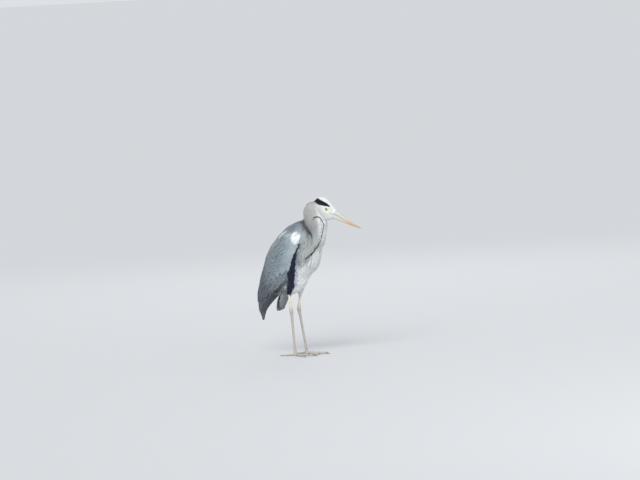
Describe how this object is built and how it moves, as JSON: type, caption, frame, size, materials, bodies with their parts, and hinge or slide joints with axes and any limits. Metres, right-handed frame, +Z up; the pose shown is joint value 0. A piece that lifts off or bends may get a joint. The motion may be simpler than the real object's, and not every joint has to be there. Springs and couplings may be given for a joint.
{
  "type": "grey heron",
  "caption": "Life-size still model of a standing grey heron with its neck drawn in and its bill pointing forward and down.",
  "frame": {"origin": "on the floor, at the middle of the box's underside", "axes": "+X the way the bird faces, +Y towards its left, +Z up"},
  "size_m": [0.4428, 0.1366, 0.5688],
  "materials": {
    "head_feather": "short white and black feathers",
    "neck_feather": "soft pale grey feathers",
    "back_feather": "soft grey feathers with long pale plumes",
    "wing_feather": "smooth blue grey feathers",
    "flight_feather": "stiff slate feathers",
    "tail_feather": "smooth grey feathers",
    "crest_feather": "glossy black plumes",
    "thigh_feather": "short white feathers",
    "bill_top": "horn with a satin sheen",
    "bill_low": "horn with a satin sheen",
    "eye": "wet gloss",
    "bare_leg": "matt skin with fine scales",
    "scaled_leg": "matt skin with plates and scales",
    "claw": "dark horn"
  },
  "bodies": {
    "root": {"head": "head_feather", "crest": "crest_feather", "neck_upper": "neck_feather", "neck_lower": "neck_feather", "trunk": "back_feather", "tail": "tail_feather", "bill_upper": "bill_top", "bill_lower": "bill_low", "wing_left": "wing_feather", "primaries_left": "flight_feather", "thigh_left": "thigh_feather", "eye_left": "eye", "shank_left": "bare_leg", "tarsus_left": "scaled_leg", "foot_left": "scaled_leg", "claw_inner_left": "claw", "claw_middle_left": "claw", "claw_outer_left": "claw", "claw_hind_left": "claw", "wing_right": "wing_feather", "primaries_right": "flight_feather", "thigh_right": "thigh_feather", "eye_right": "eye", "shank_right": "bare_leg", "tarsus_right": "scaled_leg", "foot_right": "scaled_leg", "claw_inner_right": "claw", "claw_middle_right": "claw", "claw_outer_right": "claw", "claw_hind_right": "claw"}
  },
  "joints": []
}
